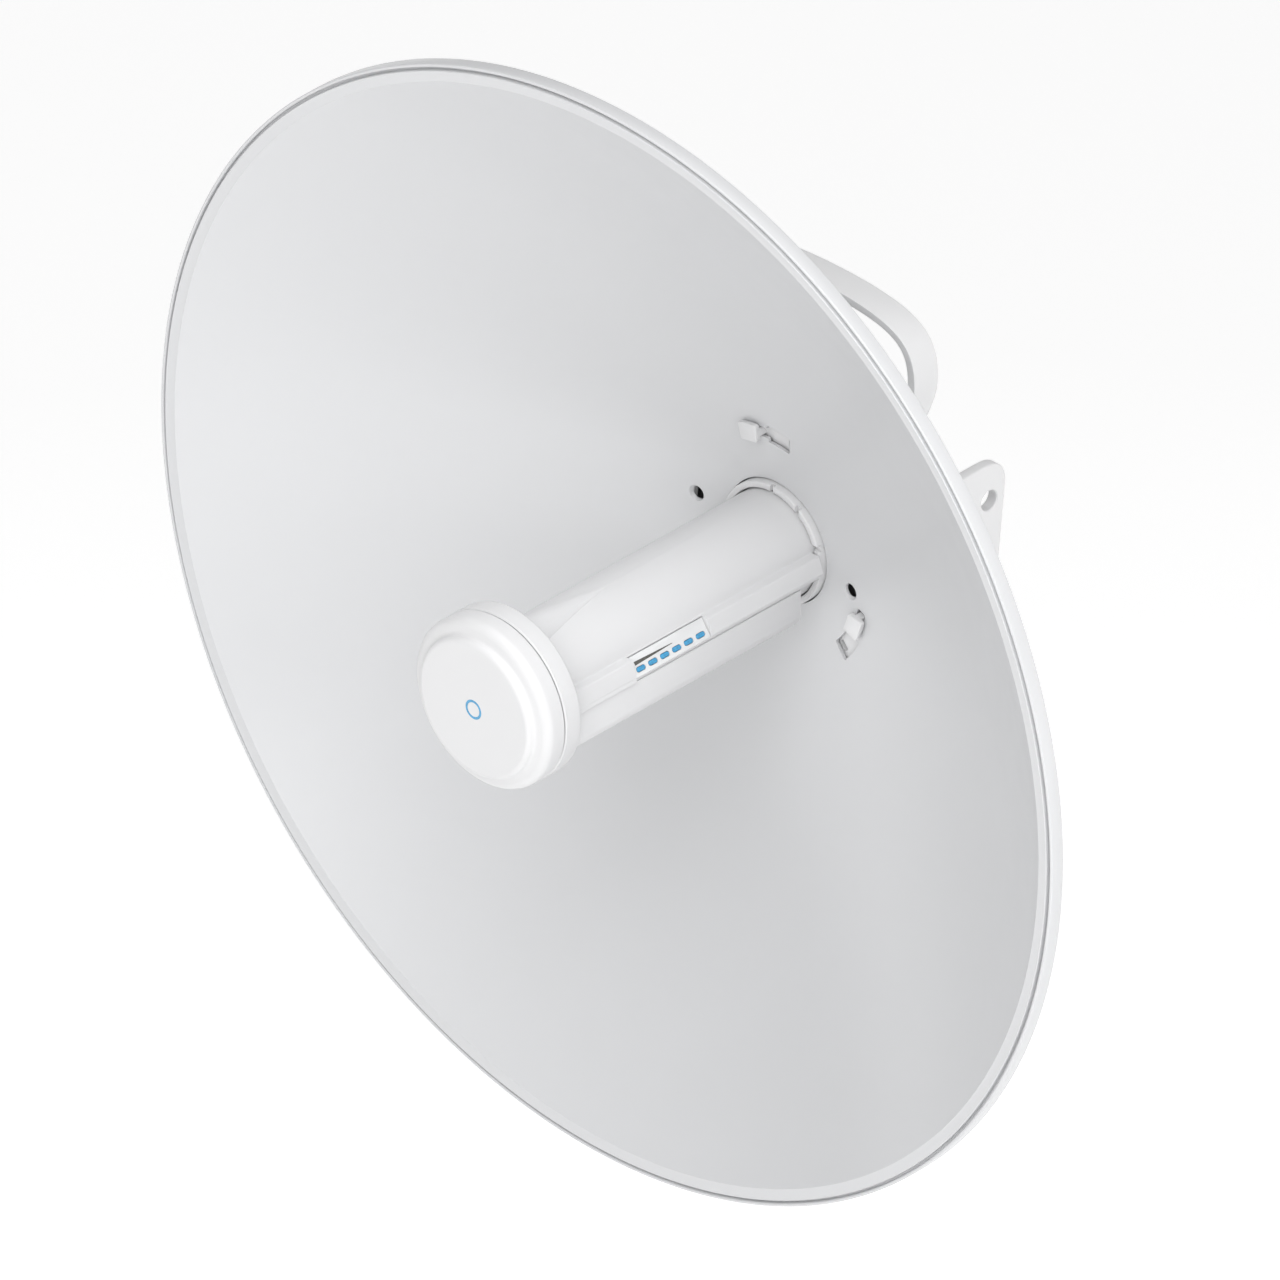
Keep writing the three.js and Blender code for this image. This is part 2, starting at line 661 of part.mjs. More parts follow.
const JAW_APEX = POLE_X - POLE_RADIUS * Math.SQRT2;
const JAW_BACK = JAW_APEX - 5;

function poleJaw() {
  const jawZ = [CLAMP_Z - JAW_HALF_HEIGHT, CLAMP_Z + JAW_HALF_HEIGHT];
  const section = jawSection(JAW_APEX, 1);
  const yRange = [POLE_Y - JAW_EDGE, POLE_Y + JAW_EDGE];
  let jaw = block([JAW_BACK, JAW_APEX], yRange, jawZ);
  for (const side of [-1, 1]) {
    jaw = jaw.add(pushed(section(side), "z", ...jawZ));
    const centre = [POLE_Y + side * JAW_BOLT, CLAMP_Z];
    jaw = jaw.subtract(rod("x", -140, -60, centre, BOLT_HOLE));
  }
  return jaw;
}

// A round-headed bolt along x, head towards +x. Its origin is under the head.
const carriageBolt = (length) =>
  rod("x", 0, 4, [0, 0], 9, 16, 5.5).add(rod("x", -length, 1, [0, 0], BOLT_RADIUS));
const washer = () =>
  rod("x", -1.6, 0, [0, 0], 8.2).subtract(rod("x", -3, 2, [0, 0], BOLT_HOLE));
const hexNut = () =>
  rod("x", -6.6, 0, [0, 0], 7.4, 6).subtract(rod("x", -8, 2, [0, 0], BOLT_RADIUS + GAP));

// ------------------------------------------------------------------- assembly
const antenna = new THREE.Group();
antenna.position.set(-POLE_X, -POLE_Y, -CLAMP_Z);

function place(name, material, manifold, position = [0, 0, 0]) {
  const mesh = new THREE.Mesh(geometryOf(manifold), MATERIALS[material]);
  mesh.name = name;
  mesh.position.set(...position);
  antenna.add(mesh);
}

place("dish_reflector", "dish", dishReflector());
place("rear_housing", "shell", rearHousing());
place("feed_socket", "shell", feedSocket());
place("carry_handle", "shell", carryHandle());
place("handle_screw_right", "zinc", handleScrew(SCREW_ANGLES[0]));
place("handle_screw_left", "zinc", handleScrew(SCREW_ANGLES[1]));
place("feed_latch", "shell", feedLatch());

place("feed_tube", "shell", feedTube());
place("lower_cover", "shell", lowerCover());
place("cap_ring", "shell", capRing());
place("feed_cap", "shell", feedCap());
place("cap_seal", "rubber", capSeal());
place("sub_reflector", "aluminium", subReflector());
place("dielectric_cone", "window", dielectricCone());
place("feed_horn", "brass", feedHorn());
place("circuit_board", "board", circuitBoard());
place("rf_shield", "aluminium", rfShield());
place("heat_sink", "aluminium", heatSink());
place("ethernet_jack", "black", ethernetJack());
place("reset_switch", "black", resetSwitch());
place("reset_button", "black", resetButton());
place("led_window", "window", ledWindow());
place("light_guide", "window", lightGuide());
for (let i = 0; i < LED_COUNT; i++) place(`led_lens_${i + 1}`, "led", ledLens(ledY(i)));

place("pole_bracket", "aluminium", poleBracket());
place("pole_jaw", "aluminium", poleJaw());

// Pivot and lock bolts run from inside the left cheek out through the bracket.
const cheekInside = -CHEEK_OUTER + CHEEK_SHEET + GAP;
const bracketOutside = BRACKET_OUTER - GAP;
for (const [name, centre] of [
  ["pivot", [PIVOT_Y, 0]],
  ["lock", lockHole()],
]) {
  place(`${name}_bolt`, "zinc", carriageBolt(20), [cheekInside, ...centre]);
  place(`${name}_washer`, "zinc", washer(), [bracketOutside, ...centre]);
  place(`${name}_nut`, "zinc", hexNut(), [bracketOutside - 1.6 - GAP, ...centre]);
}

// The two jaw bolts run from inside the bracket plate out through the jaw.
for (const [name, side] of [
  ["front", -1],
  ["rear", 1],
]) {
  const centre = [POLE_Y + side * JAW_BOLT, CLAMP_Z];
  place(`jaw_bolt_${name}`, "zinc", carriageBolt(100), [BRACKET_INNER + GAP, ...centre]);
  place(`jaw_washer_${name}`, "zinc", washer(), [JAW_BACK - GAP, ...centre]);
  place(`jaw_nut_${name}`, "zinc", hexNut(), [JAW_BACK - 1.6 - 2 * GAP, ...centre]);
}

const bridge = new THREE.Group();
bridge.add(antenna);

export default bridge;
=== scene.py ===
"""Outdoor wireless bridge: the visual model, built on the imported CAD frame.

Lengths are millimetres on the antenna's own axes: x to the right, y backwards
along the dish axis and z up, with y = 0 at the ring of small holes round the
feed. Names that end in _M are in metres, and so are the grain depths of materials.
"""

import json
import math

import bmesh
import bpy
from mathutils import Matrix, Vector


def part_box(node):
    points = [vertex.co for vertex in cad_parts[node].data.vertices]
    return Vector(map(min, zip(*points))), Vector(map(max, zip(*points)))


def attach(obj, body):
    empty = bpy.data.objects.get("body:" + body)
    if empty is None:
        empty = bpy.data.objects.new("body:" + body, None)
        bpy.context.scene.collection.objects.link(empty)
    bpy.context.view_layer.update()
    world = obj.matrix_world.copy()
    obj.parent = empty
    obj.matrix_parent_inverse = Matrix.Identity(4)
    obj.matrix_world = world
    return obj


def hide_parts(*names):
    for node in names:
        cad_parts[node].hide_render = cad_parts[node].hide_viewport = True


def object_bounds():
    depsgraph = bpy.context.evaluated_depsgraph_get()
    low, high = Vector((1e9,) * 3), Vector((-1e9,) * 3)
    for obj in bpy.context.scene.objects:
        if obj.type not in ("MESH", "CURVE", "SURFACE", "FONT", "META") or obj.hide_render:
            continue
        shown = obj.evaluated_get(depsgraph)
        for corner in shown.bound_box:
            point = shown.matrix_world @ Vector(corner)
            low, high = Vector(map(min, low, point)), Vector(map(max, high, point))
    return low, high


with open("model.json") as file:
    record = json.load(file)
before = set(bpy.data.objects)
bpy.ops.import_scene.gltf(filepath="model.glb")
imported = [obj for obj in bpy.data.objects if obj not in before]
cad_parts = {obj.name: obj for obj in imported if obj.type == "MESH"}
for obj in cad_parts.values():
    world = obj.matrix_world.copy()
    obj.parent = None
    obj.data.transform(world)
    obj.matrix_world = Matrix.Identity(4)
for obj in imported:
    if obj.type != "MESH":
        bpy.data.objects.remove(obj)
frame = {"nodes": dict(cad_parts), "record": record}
nodes = frame["nodes"]
cad_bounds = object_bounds()

# ----------------------------------------------------------------- dimensions
MM = 0.001
DEG = math.pi / 180
GAP = 0.3

CAP_FACE = -182
cap_low, cap_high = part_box("feed_cap")
ORIGIN = (cap_low + cap_high) / 2
ORIGIN.y = cap_low.y - CAP_FACE * MM

DISH_RADIUS = 261
BOWL_RADIUS = 253
FOCAL_LENGTH = 149.8
DISH_SHEET = 1.5
HOLE_CIRCLE = 45
HOLE_ANGLES = (-6, 174)
HOOK_CIRCLE = 54
HOOK_ANGLES = (93.5, -26.5, 213.5)
SLOT_WIDE = 4.6
SLOT_NARROW = 2.6
SLOT_REACH = 15

HOUSING_RADIUS = 66
HOUSING_BACK = 34
WALL = 3
SOCKET_BORE = 25.6
SOCKET_OUTER = 28.6
SOCKET_FRONT = -1.5
CHEEK_OUTER = 43
CHEEK_SHEET = 5.5
PIVOT_Y = 87
LOCK_RADIUS = 46
LOCK_ANGLE = 230
TILT_LIMIT = 18

SCREW_ANGLES = (62, 118)
SCREW_Y = 24.5
BUTTON_HALF = 7
BUTTON_Y = (20.5, 29.5)
LATCH_TRAVEL = 3
LATCH_Y = (23, 27)
TOOTH_HOLE_Y = (LATCH_Y[0] - 0.6, LATCH_Y[1] + 0.6)
STRAP_INNER = HOUSING_RADIUS + 0.5
STRAP_OUTER = STRAP_INNER + 4.1
HOOP_Y = (19, 39.5)
HOOP_FRONT = 25
HOOP_HALF = 58
HOOP_TOP = 120
HOOP_SHEET = 4
CABLE_X = (-9, 9)
CABLE_Z = (-19, -6)

ARCH_RADIUS = 25
BORE_RADIUS = 21.5
TUBE_REAR = 30
RING_FRONT = -166.7
RING_REAR = -157
CAP_RADIUS = 39.5
CAP_REAR = -167.3
SHELL_FRONT = RING_REAR + GAP
SHELL_REAR = -2.2
COVER_REAR = -14

LED_COUNT = 6
LED_FIRST_Y = -111
LED_PITCH = 7.2
LED_LAST_Y = LED_FIRST_Y + (LED_COUNT - 1) * LED_PITCH
LED_V = -1.9

SHOULDER_TOP = (28.6, 6.6)
FRONT_FOOT = (31.6, -3.2)
REAR_FOOT = (31.2, -1.2)
SHELL_BOTTOM = (29.4, -3.8)
PANEL_TOP = (25.4, 6.4)
PANEL_FOOT = (31, -1.4)
PANEL_SPAN = (LED_FIRST_Y - 4.4, LED_LAST_Y + 5)
PANEL_WIDTH = math.hypot(PANEL_FOOT[0] - PANEL_TOP[0], PANEL_TOP[1] - PANEL_FOOT[1])
PANEL_TILT = math.atan2(PANEL_FOOT[0] - PANEL_TOP[0], PANEL_TOP[1] - PANEL_FOOT[1])

AZIMUTH = 44 * DEG
ELEVATION = 32.6 * DEG
CAMERA_DISTANCE_M = 20.0
PIXELS_PER_MM = 2.375
IMAGE_WIDTH = 1280
SENSOR = 36
AIM_RIGHT = 15.4
AIM_DOWN = 1.2
FLOOR_DROP_M = 0.55
FLOOR_HALF_M = 14
LAMP_DISTANCE_M = 2.6
LAMP_SIZE_M = 3


def to_world(x, y, z):
    return ORIGIN + Vector((x, y, z)) * MM


def own_box(node):
    """A CAD node's box on the antenna's own axes."""
    low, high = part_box(node)
    return (low - ORIGIN) / MM, (high - ORIGIN) / MM


# ----------------------------------------------------------------- mesh tools
def new_piece(name, vertices, faces):
    """A mesh object whose vertices are given on the antenna's own axes."""
    mesh = bpy.data.meshes.new(name)
    mesh.from_pydata([to_world(*v) for v in vertices], [], faces)
    mesh.validate()
    piece = bpy.data.objects.new(name, mesh)
    bpy.context.scene.collection.objects.link(piece)
    return piece


def apply_modifiers(piece):
    bpy.context.view_layer.update()
    graph = bpy.context.evaluated_depsgraph_get()
    mesh = bpy.data.meshes.new_from_object(piece.evaluated_get(graph))
    piece.modifiers.clear()
    piece.data = mesh
    return piece


def combine(piece, operation, tools):
    """Cuts a piece by the tools, adds them to it or keeps what they share, and removes them."""
    for tool in tools:
        step = piece.modifiers.new(operation, "BOOLEAN")
        step.operation = operation
        step.solver = "EXACT"
        step.object = tool
    apply_modifiers(piece)
    for tool in tools:
        bpy.data.objects.remove(tool)
    return piece


def cut(piece, *tools):
    return combine(piece, "DIFFERENCE", tools)


def join(piece, *tools):
    return combine(piece, "UNION", tools)


def bevel(piece, width, segments=3, angle=30):
    """Rounds a piece's sharp edges."""
    step = piece.modifiers.new("bevel", "BEVEL")
    step.width = width * MM
    step.segments = segments
    step.limit_method = "ANGLE"
    step.angle_limit = angle * DEG
    return apply_modifiers(piece)


def smooth(piece, angle=32):
    piece.data.shade_smooth()
    piece.data.set_sharp_from_angle(angle=angle * DEG)
    return piece


def on_axis(axis, centre, u, v, along):
    if axis == "x":
        return (along, centre[0] + u, centre[1] + v)
    if axis == "y":
        return (centre[0] + u, along, centre[1] + v)
    return (centre[0] + u, centre[1] + v, along)


def turned(name, profile, segments=128, centre=(0, 0), axis="y"):
    """A closed outline of (radius, along) points turned about an axis."""
    vertices = []
    rings = []
    for radius, along in profile:
        if radius < 1e-6:
            rings.append([len(vertices)] * segments)
            vertices.append(on_axis(axis, centre, 0, 0, along))
            continue
        rings.append(list(range(len(vertices), len(vertices) + segments)))
        for i in range(segments):
            a = 2 * math.pi * i / segments
            vertices.append(
                on_axis(axis, centre, radius * math.cos(a), radius * math.sin(a), along)
            )
    faces = []
    for ring, following in zip(rings, rings[1:] + rings[:1]):
        if ring[0] == ring[1] and following[0] == following[1]:
            continue
        for i in range(segments):
            j = (i + 1) % segments
            corners = [ring[i], ring[j], following[j], following[i]]
            faces.append(list(dict.fromkeys(corners)))
    return outward(new_piece(name, vertices, faces))


def pushed(name, outline, axis, low, high):
    """An outline pushed along an axis. Its own two axes are (y, z) along x,
    (x, z) along y and (x, y) along z."""
    count = len(outline)
    vertices = [on_axis(axis, (0, 0), u, v, low) for u, v in outline]
    vertices += [on_axis(axis, (0, 0), u, v, high) for u, v in outline]
    faces = [list(range(count)), list(range(2 * count - 1, count - 1, -1))]
    for i in range(count):
        j = (i + 1) % count
        faces.append([i, i + count, j + count, j])
    return outward(new_piece(name, vertices, faces))


def outward(piece):
    """Turns every face to look out of the piece."""
    work = bmesh.new()
    work.from_mesh(piece.data)
    bmesh.ops.recalc_face_normals(work, faces=work.faces)
    work.to_mesh(piece.data)
    work.free()
    return piece


def block(name, x, y, z):
    outline = [(x[0], z[0]), (x[1], z[0]), (x[1], z[1]), (x[0], z[1])]
    return pushed(name, outline, "y", y[0], y[1])


def rod(name, axis, low, high, centre, radius, segments=64):
    profile = [(0, low), (radius, low), (radius, high), (0, high)]
    return turned(name, profile, segments, centre, axis)


def arc(centre, radius, start, end, steps):
    """Points along an arc, with angles in degrees."""
    points = []
    for i in range(steps + 1):
        a = (start + (end - start) * i / steps) * DEG
        points.append((centre[0] + radius * math.cos(a), centre[1] + radius * math.sin(a)))
    return points


def rounded(corners, steps=5):
    """A closed outline whose corners (u, v, radius) are rounded off."""
    points = []
    for i, (u, v, radius) in enumerate(corners):
        here = Vector((u, v))
        if radius == 0:
            points.append((u, v))
            continue
        back = (Vector(corners[i - 1][:2]) - here).normalized()
        ahead = (Vector(corners[(i + 1) % len(corners)][:2]) - here).normalized()
        half = back.angle(ahead) / 2
        reach = radius / math.tan(half)
        centre = here + (back + ahead).normalized() * radius / math.sin(half)
        first = (here + back * reach - centre).normalized()
        last = (here + ahead * reach - centre).normalized()
        for k in range(steps + 1):
            p = centre + first.slerp(last, k / steps) * radius
            points.append((p.x, p.y))
    return points


def bezier(start, control_a, control_b, end, steps):
    """The points of a curve with two control points, without its start."""
    corners = (start, control_a, control_b, end)
    points = []
    for i in range(1, steps + 1):
        t = i / steps
        weights = ((1 - t) ** 3, 3 * t * (1 - t) ** 2, 3 * t * t * (1 - t), t**3)
        points.append(tuple(sum(w * p[k] for w, p in zip(weights, corners)) for k in (0, 1)))
    return points


def quadratic(start, control, end, steps):
    """The points of a curve with one control point, without its start."""
    points = []
    for i in range(1, steps + 1):
        t = i / steps
        a, b, c = (1 - t) ** 2, 2 * t * (1 - t), t * t
        points.append(tuple(a * start[k] + b * control[k] + c * end[k] for k in (0, 1)))
    return points


def polar(radius, angle):
    return radius * math.cos(angle * DEG), radius * math.sin(angle * DEG)


def arc_band(inner, outer, start, end, steps=14, corner=0.8):
    """A band between two radii and two angles, its corners slightly rounded."""
    ease = corner / outer / DEG
    points = arc((0, 0), outer, start + ease, end - ease, steps)
    points += [polar(outer - corner, end)]
    points += [polar(inner + corner, end)]
    points += arc((0, 0), inner, end - ease, start + ease, steps)
    points += [polar(inner + corner, start)]
    points += [polar(outer - corner, start)]
    return points


# ------------------------------------------------------------------ materials
class Nodes:
    """A short way to add and link a material's nodes."""

    def __init__(self, name):
        self.material = bpy.data.materials.new(name)
        self.material.use_nodes = True
        self.tree = self.material.node_tree
        self.shader = self.tree.nodes["Principled BSDF"]

    def add(self, kind, **inputs):
        node = self.tree.nodes.new(kind)
        for key, value in inputs.items():
            node.inputs[key.replace("_", " ")].default_value = value
        return node

    def link(self, source, target):
        self.tree.links.new(source, target)


def noise(made, scale, detail, stretch=(1, 1, 1)):
    place = made.add("ShaderNodeTexCoord")
    mapping = made.add("ShaderNodeMapping", Scale=stretch)
    texture = made.add("ShaderNodeTexNoise", Scale=scale, Detail=detail, Roughness=0.55)
    made.link(place.outputs["Object"], mapping.inputs["Vector"])
    made.link(mapping.outputs["Vector"], texture.inputs["Vector"])
    return texture.outputs["Fac"]


def spread(made, value, low, high):
    scaled = made.add("ShaderNodeMapRange", From_Min=0.3, From_Max=0.7, To_Min=low, To_Max=high)
    made.link(value, scaled.inputs["Value"])
    return scaled.outputs["Result"]


def finish_material(
    name,
    color,
    roughness,
    metallic=0.0,
    mottle=0.015,
    patch=60,
    grain=2600,
    depth=0.00002,
    stretch=(1, 1, 1),
    rough_spread=0.05,
    **constants,
):
    """A surface with faint cloudy colour, uneven gloss and a fine grain."""
    made = Nodes(name)
    shader = made.shader
    shader.inputs["Metallic"].default_value = metallic
    for key, value in constants.items():
        shader.inputs[key.replace("_", " ")].default_value = value
    cloud = noise(made, patch, 3, stretch)
    ramp = made.add("ShaderNodeValToRGB")
    ramp.color_ramp.elements[0].position = 0.3
    ramp.color_ramp.elements[1].position = 0.7
    ramp.color_ramp.elements[0].color = [c * (1 - mottle) for c in color] + [1]
    ramp.color_ramp.elements[1].color = [min(1, c * (1 + mottle)) for c in color] + [1]
    made.link(cloud, ramp.inputs["Fac"])
    made.link(ramp.outputs["Color"], shader.inputs["Base Color"])
    fine_cloud = noise(made, patch * 4, 4, stretch)
    gloss = spread(made, fine_cloud, roughness - rough_spread, roughness + rough_spread)
    made.link(gloss, shader.inputs["Roughness"])
    bump = made.add("ShaderNodeBump", Strength=0.5, Distance=depth)
    made.link(noise(made, grain, 2, stretch), bump.inputs["Height"])
    made.link(bump.outputs["Normal"], shader.inputs["Normal"])
    return made.material


MATERIALS = {
    "dish": finish_material(
        "dish_powder_coat", (0.556, 0.56, 0.57), 0.34, mottle=0.006, patch=9, grain=900,
        depth=0.000012, rough_spread=0.03, Coat_Weight=0.25, Coat_Roughness=0.22,
    ),
    "shell": finish_material(
        "white_plastic", (0.64, 0.64, 0.646), 0.38, mottle=0.006, patch=30, grain=3200,
        depth=0.00001, rough_spread=0.04, Coat_Weight=0.1, Coat_Roughness=0.3,
    ),
    "zinc": finish_material(
        "zinc_plate", (0.62, 0.63, 0.64), 0.32, 1.0, mottle=0.12, patch=300, grain=5200,
        depth=0.00002, rough_spread=0.1,
    ),
    "aluminium": finish_material(
        "cast_aluminium", (0.66, 0.67, 0.68), 0.46, 1.0, mottle=0.05, patch=120, grain=1500,
        depth=0.00006, rough_spread=0.09,
    ),
    "brass": finish_material(
        "turned_brass", (0.70, 0.52, 0.24), 0.28, 1.0, mottle=0.06, patch=200, grain=3000,
        depth=0.00001, stretch=(1, 8, 1), rough_spread=0.08,
    ),
    "board": finish_material(
        "solder_mask", (0.02, 0.16, 0.07), 0.4, mottle=0.25, patch=500, grain=2400,
        depth=0.00003, rough_spread=0.1, Coat_Weight=0.4,
    ),
    "rubber": finish_material(
        "black_rubber", (0.03, 0.03, 0.032), 0.75, mottle=0.2, patch=200, grain=2500,
        depth=0.00004,
    ),
    "black": finish_material(
        "black_moulding", (0.025, 0.025, 0.028), 0.45, mottle=0.15, patch=200, grain=4000,
        depth=0.00003,
    ),
    "window": finish_material(
        "clear_window", (0.68, 0.685, 0.69), 0.2, mottle=0.01, patch=100, grain=1500,
        depth=0.000005, rough_spread=0.03, Coat_Weight=0.5, Coat_Roughness=0.08,
    ),
    "led": finish_material(
        "blue_lens", (0.05, 0.28, 0.5), 0.22, mottle=0.2, patch=900, grain=2500,
        depth=0.00001, rough_spread=0.05, Coat_Weight=0.6, Coat_Roughness=0.06,
    ),
    "print": finish_material(
        "grey_print", (0.09, 0.088, 0.08), 0.5, mottle=0.2, patch=800, grain=4000,
        depth=0.00001,
    ),
}


def done(piece, body, material, *replaced, angle=32, slot=None):
    """Shades, paints and hangs a finished piece on its body."""
    smooth(piece, angle)
    piece.data.materials.clear()
    piece.data.materials.append(MATERIALS[material])
    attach(piece, body)
    if replaced:
        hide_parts(*replaced)
    return piece


# ----------------------------------------------------------------------- dish
def bowl_front(r):
    return -(r * r - HOLE_CIRCLE * HOLE_CIRCLE) / (4 * FOCAL_LENGTH)


def bowl_back(r):
    return bowl_front(r) + DISH_SHEET * math.hypot(1, r / (2 * FOCAL_LENGTH))


def keyhole(angle):
    """A hook's slot: a wide end that lets the head through, then a narrow end that holds it."""
    ease = 0.8
    turn = angle - 1
    first, last = angle - SLOT_REACH, angle + SLOT_REACH
    wide_start, narrow_end = first + ease, last - 0.6
    points = arc((0, 0), HOOK_CIRCLE + SLOT_WIDE, wide_start, turn, 14)
    points += arc((0, 0), HOOK_CIRCLE + SLOT_NARROW, turn, narrow_end, 14)
    points += [polar(HOOK_CIRCLE + SLOT_NARROW - ease, last)]
    points += [polar(HOOK_CIRCLE - SLOT_NARROW + ease, last)]
    points += arc((0, 0), HOOK_CIRCLE - SLOT_NARROW, narrow_end, turn, 14)
    points += arc((0, 0), HOOK_CIRCLE - SLOT_WIDE, turn, wide_start, 14)
    points += [polar(HOOK_CIRCLE - SLOT_WIDE + ease, first)]
    points += [polar(HOOK_CIRCLE + SLOT_WIDE - ease, first)]
    return points


def small_hole(angle):
    """The countersunk tool for one of the two round holes beside the feed."""
    front = bowl_front(HOLE_CIRCLE)
    profile = [(0, front - 4), (4.6, front - 4), (4.6, front - 1.1), (3.9, front - 0.2)]
    profile += [(3.3, front + 0.5), (3, front + 1.3), (3, 12), (0, 12)]
    return turned("hole_tool", profile, 48, polar(HOLE_CIRCLE, angle))


def dish():
    """The bowl and its rolled lip, with a groove, a bead and a skirt, as one turned outline."""
    hub = SOCKET_OUTER + 0.6
    steps = 56
    radii = [hub + (BOWL_RADIUS - hub) * i / steps for i in range(steps + 1)]
    lip = bowl_front(BOWL_RADIUS)
    edge = DISH_RADIUS
    profile = [(r, bowl_front(r)) for r in radii]
    profile += [(BOWL_RADIUS + 0.6, lip), (edge - 3.2, lip - 0.8), (edge - 2.9, lip - 0.5)]
    profile += [(edge - 2.7, lip + 1.6), (edge - 1.8, lip + 1.6), (edge - 1.6, lip + 0.3)]
    profile += arc((edge - 0.8, lip + 0.4), 0.8, 190, 360, 8)
    profile += arc((edge - 0.7, lip + 6.1), 0.7, 0, 180, 6)
    profile += [(edge - 1.4, lip + 3.7), (edge - 2.2, lip + 3.2), (edge - 3.4, lip + 2.8)]
    profile += [(edge - 4.4, lip + 2.0), (BOWL_RADIUS + 0.8, lip + 1.7)]
    profile += [(r, bowl_back(r)) for r in reversed(radii[:-1])]
    bowl = turned("dish_bowl", profile, 288)
    holes = [small_hole(angle) for angle in HOLE_ANGLES]
    slots = [pushed("slot_tool", keyhole(angle), "y", -20, 20) for angle in HOOK_ANGLES]
    cut(bowl, *holes, *slots)
    return done(bowl, "dish", "dish", "dish_reflector", angle=28)


# --------------------------------------------------------------- rear housing
def arc_slot(centre, radius, half, start, end):
    """A curved slot with round ends, between two angles about a centre."""
    first = (centre[0] + polar(radius, start)[0], centre[1] + polar(radius, start)[1])
    last = (centre[0] + polar(radius, end)[0], centre[1] + polar(radius, end)[1])
    points = arc(centre, radius + half, start, end, 20)
    points += arc(last, half, end, end + 180, 12)[1:]
    points += arc(centre, radius - half, end, start, 20)[1:]
    points += arc(first, half, start + 180, start + 360, 12)[1:-1]
    return points


def cheek_outline():
    points = [(HOUSING_BACK - 2, -52), (84, -52)]
    points += quadratic((84, -52), (91, -52), (91.6, -45), 8)
    points += [(97, 4)]
    points += quadratic((97, 4), (98, 18), (84, 18), 10)
    points += [(HOUSING_BACK - 2, 18)]
    return points


def cheek(side):
    """One of the housing's ears, with the pivot's hole and the curved slot of the lock."""
    faces = sorted((side * CHEEK_OUTER, side * (CHEEK_OUTER - CHEEK_SHEET)))
    plate = bevel(pushed("cheek", cheek_outline(), "x", *faces), 0.9, 3, 50)
    pivot = turned("pivot_tool", flared_hole(faces, 4.7), 48, (PIVOT_Y, 0), "x")
    outline = arc_slot(
        (PIVOT_Y, 0), LOCK_RADIUS, 4.3, LOCK_ANGLE - TILT_LIMIT, LOCK_ANGLE + TILT_LIMIT
    )
    slot = pushed("slot_tool", outline, "x", faces[0] - 1, faces[1] + 1)
    return cut(plate, pivot, slot)


def flared_hole(faces, radius, flare=0.5):
    """The outline of a drill that leaves both mouths of a hole slightly eased."""
    low, high = faces
    return [
        (0, low - 1),
        (radius + flare + 0.5, low - 1),
        (radius + flare, low),
        (radius, low + flare),
        (radius, high - flare),
        (radius + flare, high),
        (radius + flare + 0.5, high + 1),
        (0, high + 1),
    ]


def aimed_out(piece, angle, y):
    """Turns a piece made along x to point out of the dish axis, at an angle round it."""
    turn = Matrix.Rotation(-angle * DEG, 4, "Y")
    shift = Matrix.Translation(Vector((0, y * MM, 0)))
    centre = Matrix.Translation(ORIGIN)
    piece.data.transform(centre @ shift @ turn @ centre.inverted())
    return piece


def front_flange(outer):
    """The ring just behind the dish that carries the hooks and shows through the slots."""
    inner = 48.4
    profile = [(r, bowl_back(r) + 0.8) for r in (inner, 52, 56, 60, outer + 1)]
    profile += [(r, bowl_back(r) + 3) for r in (outer + 1, 60, 56, 52, inner)]
    return turned("front_flange", profile, 160)


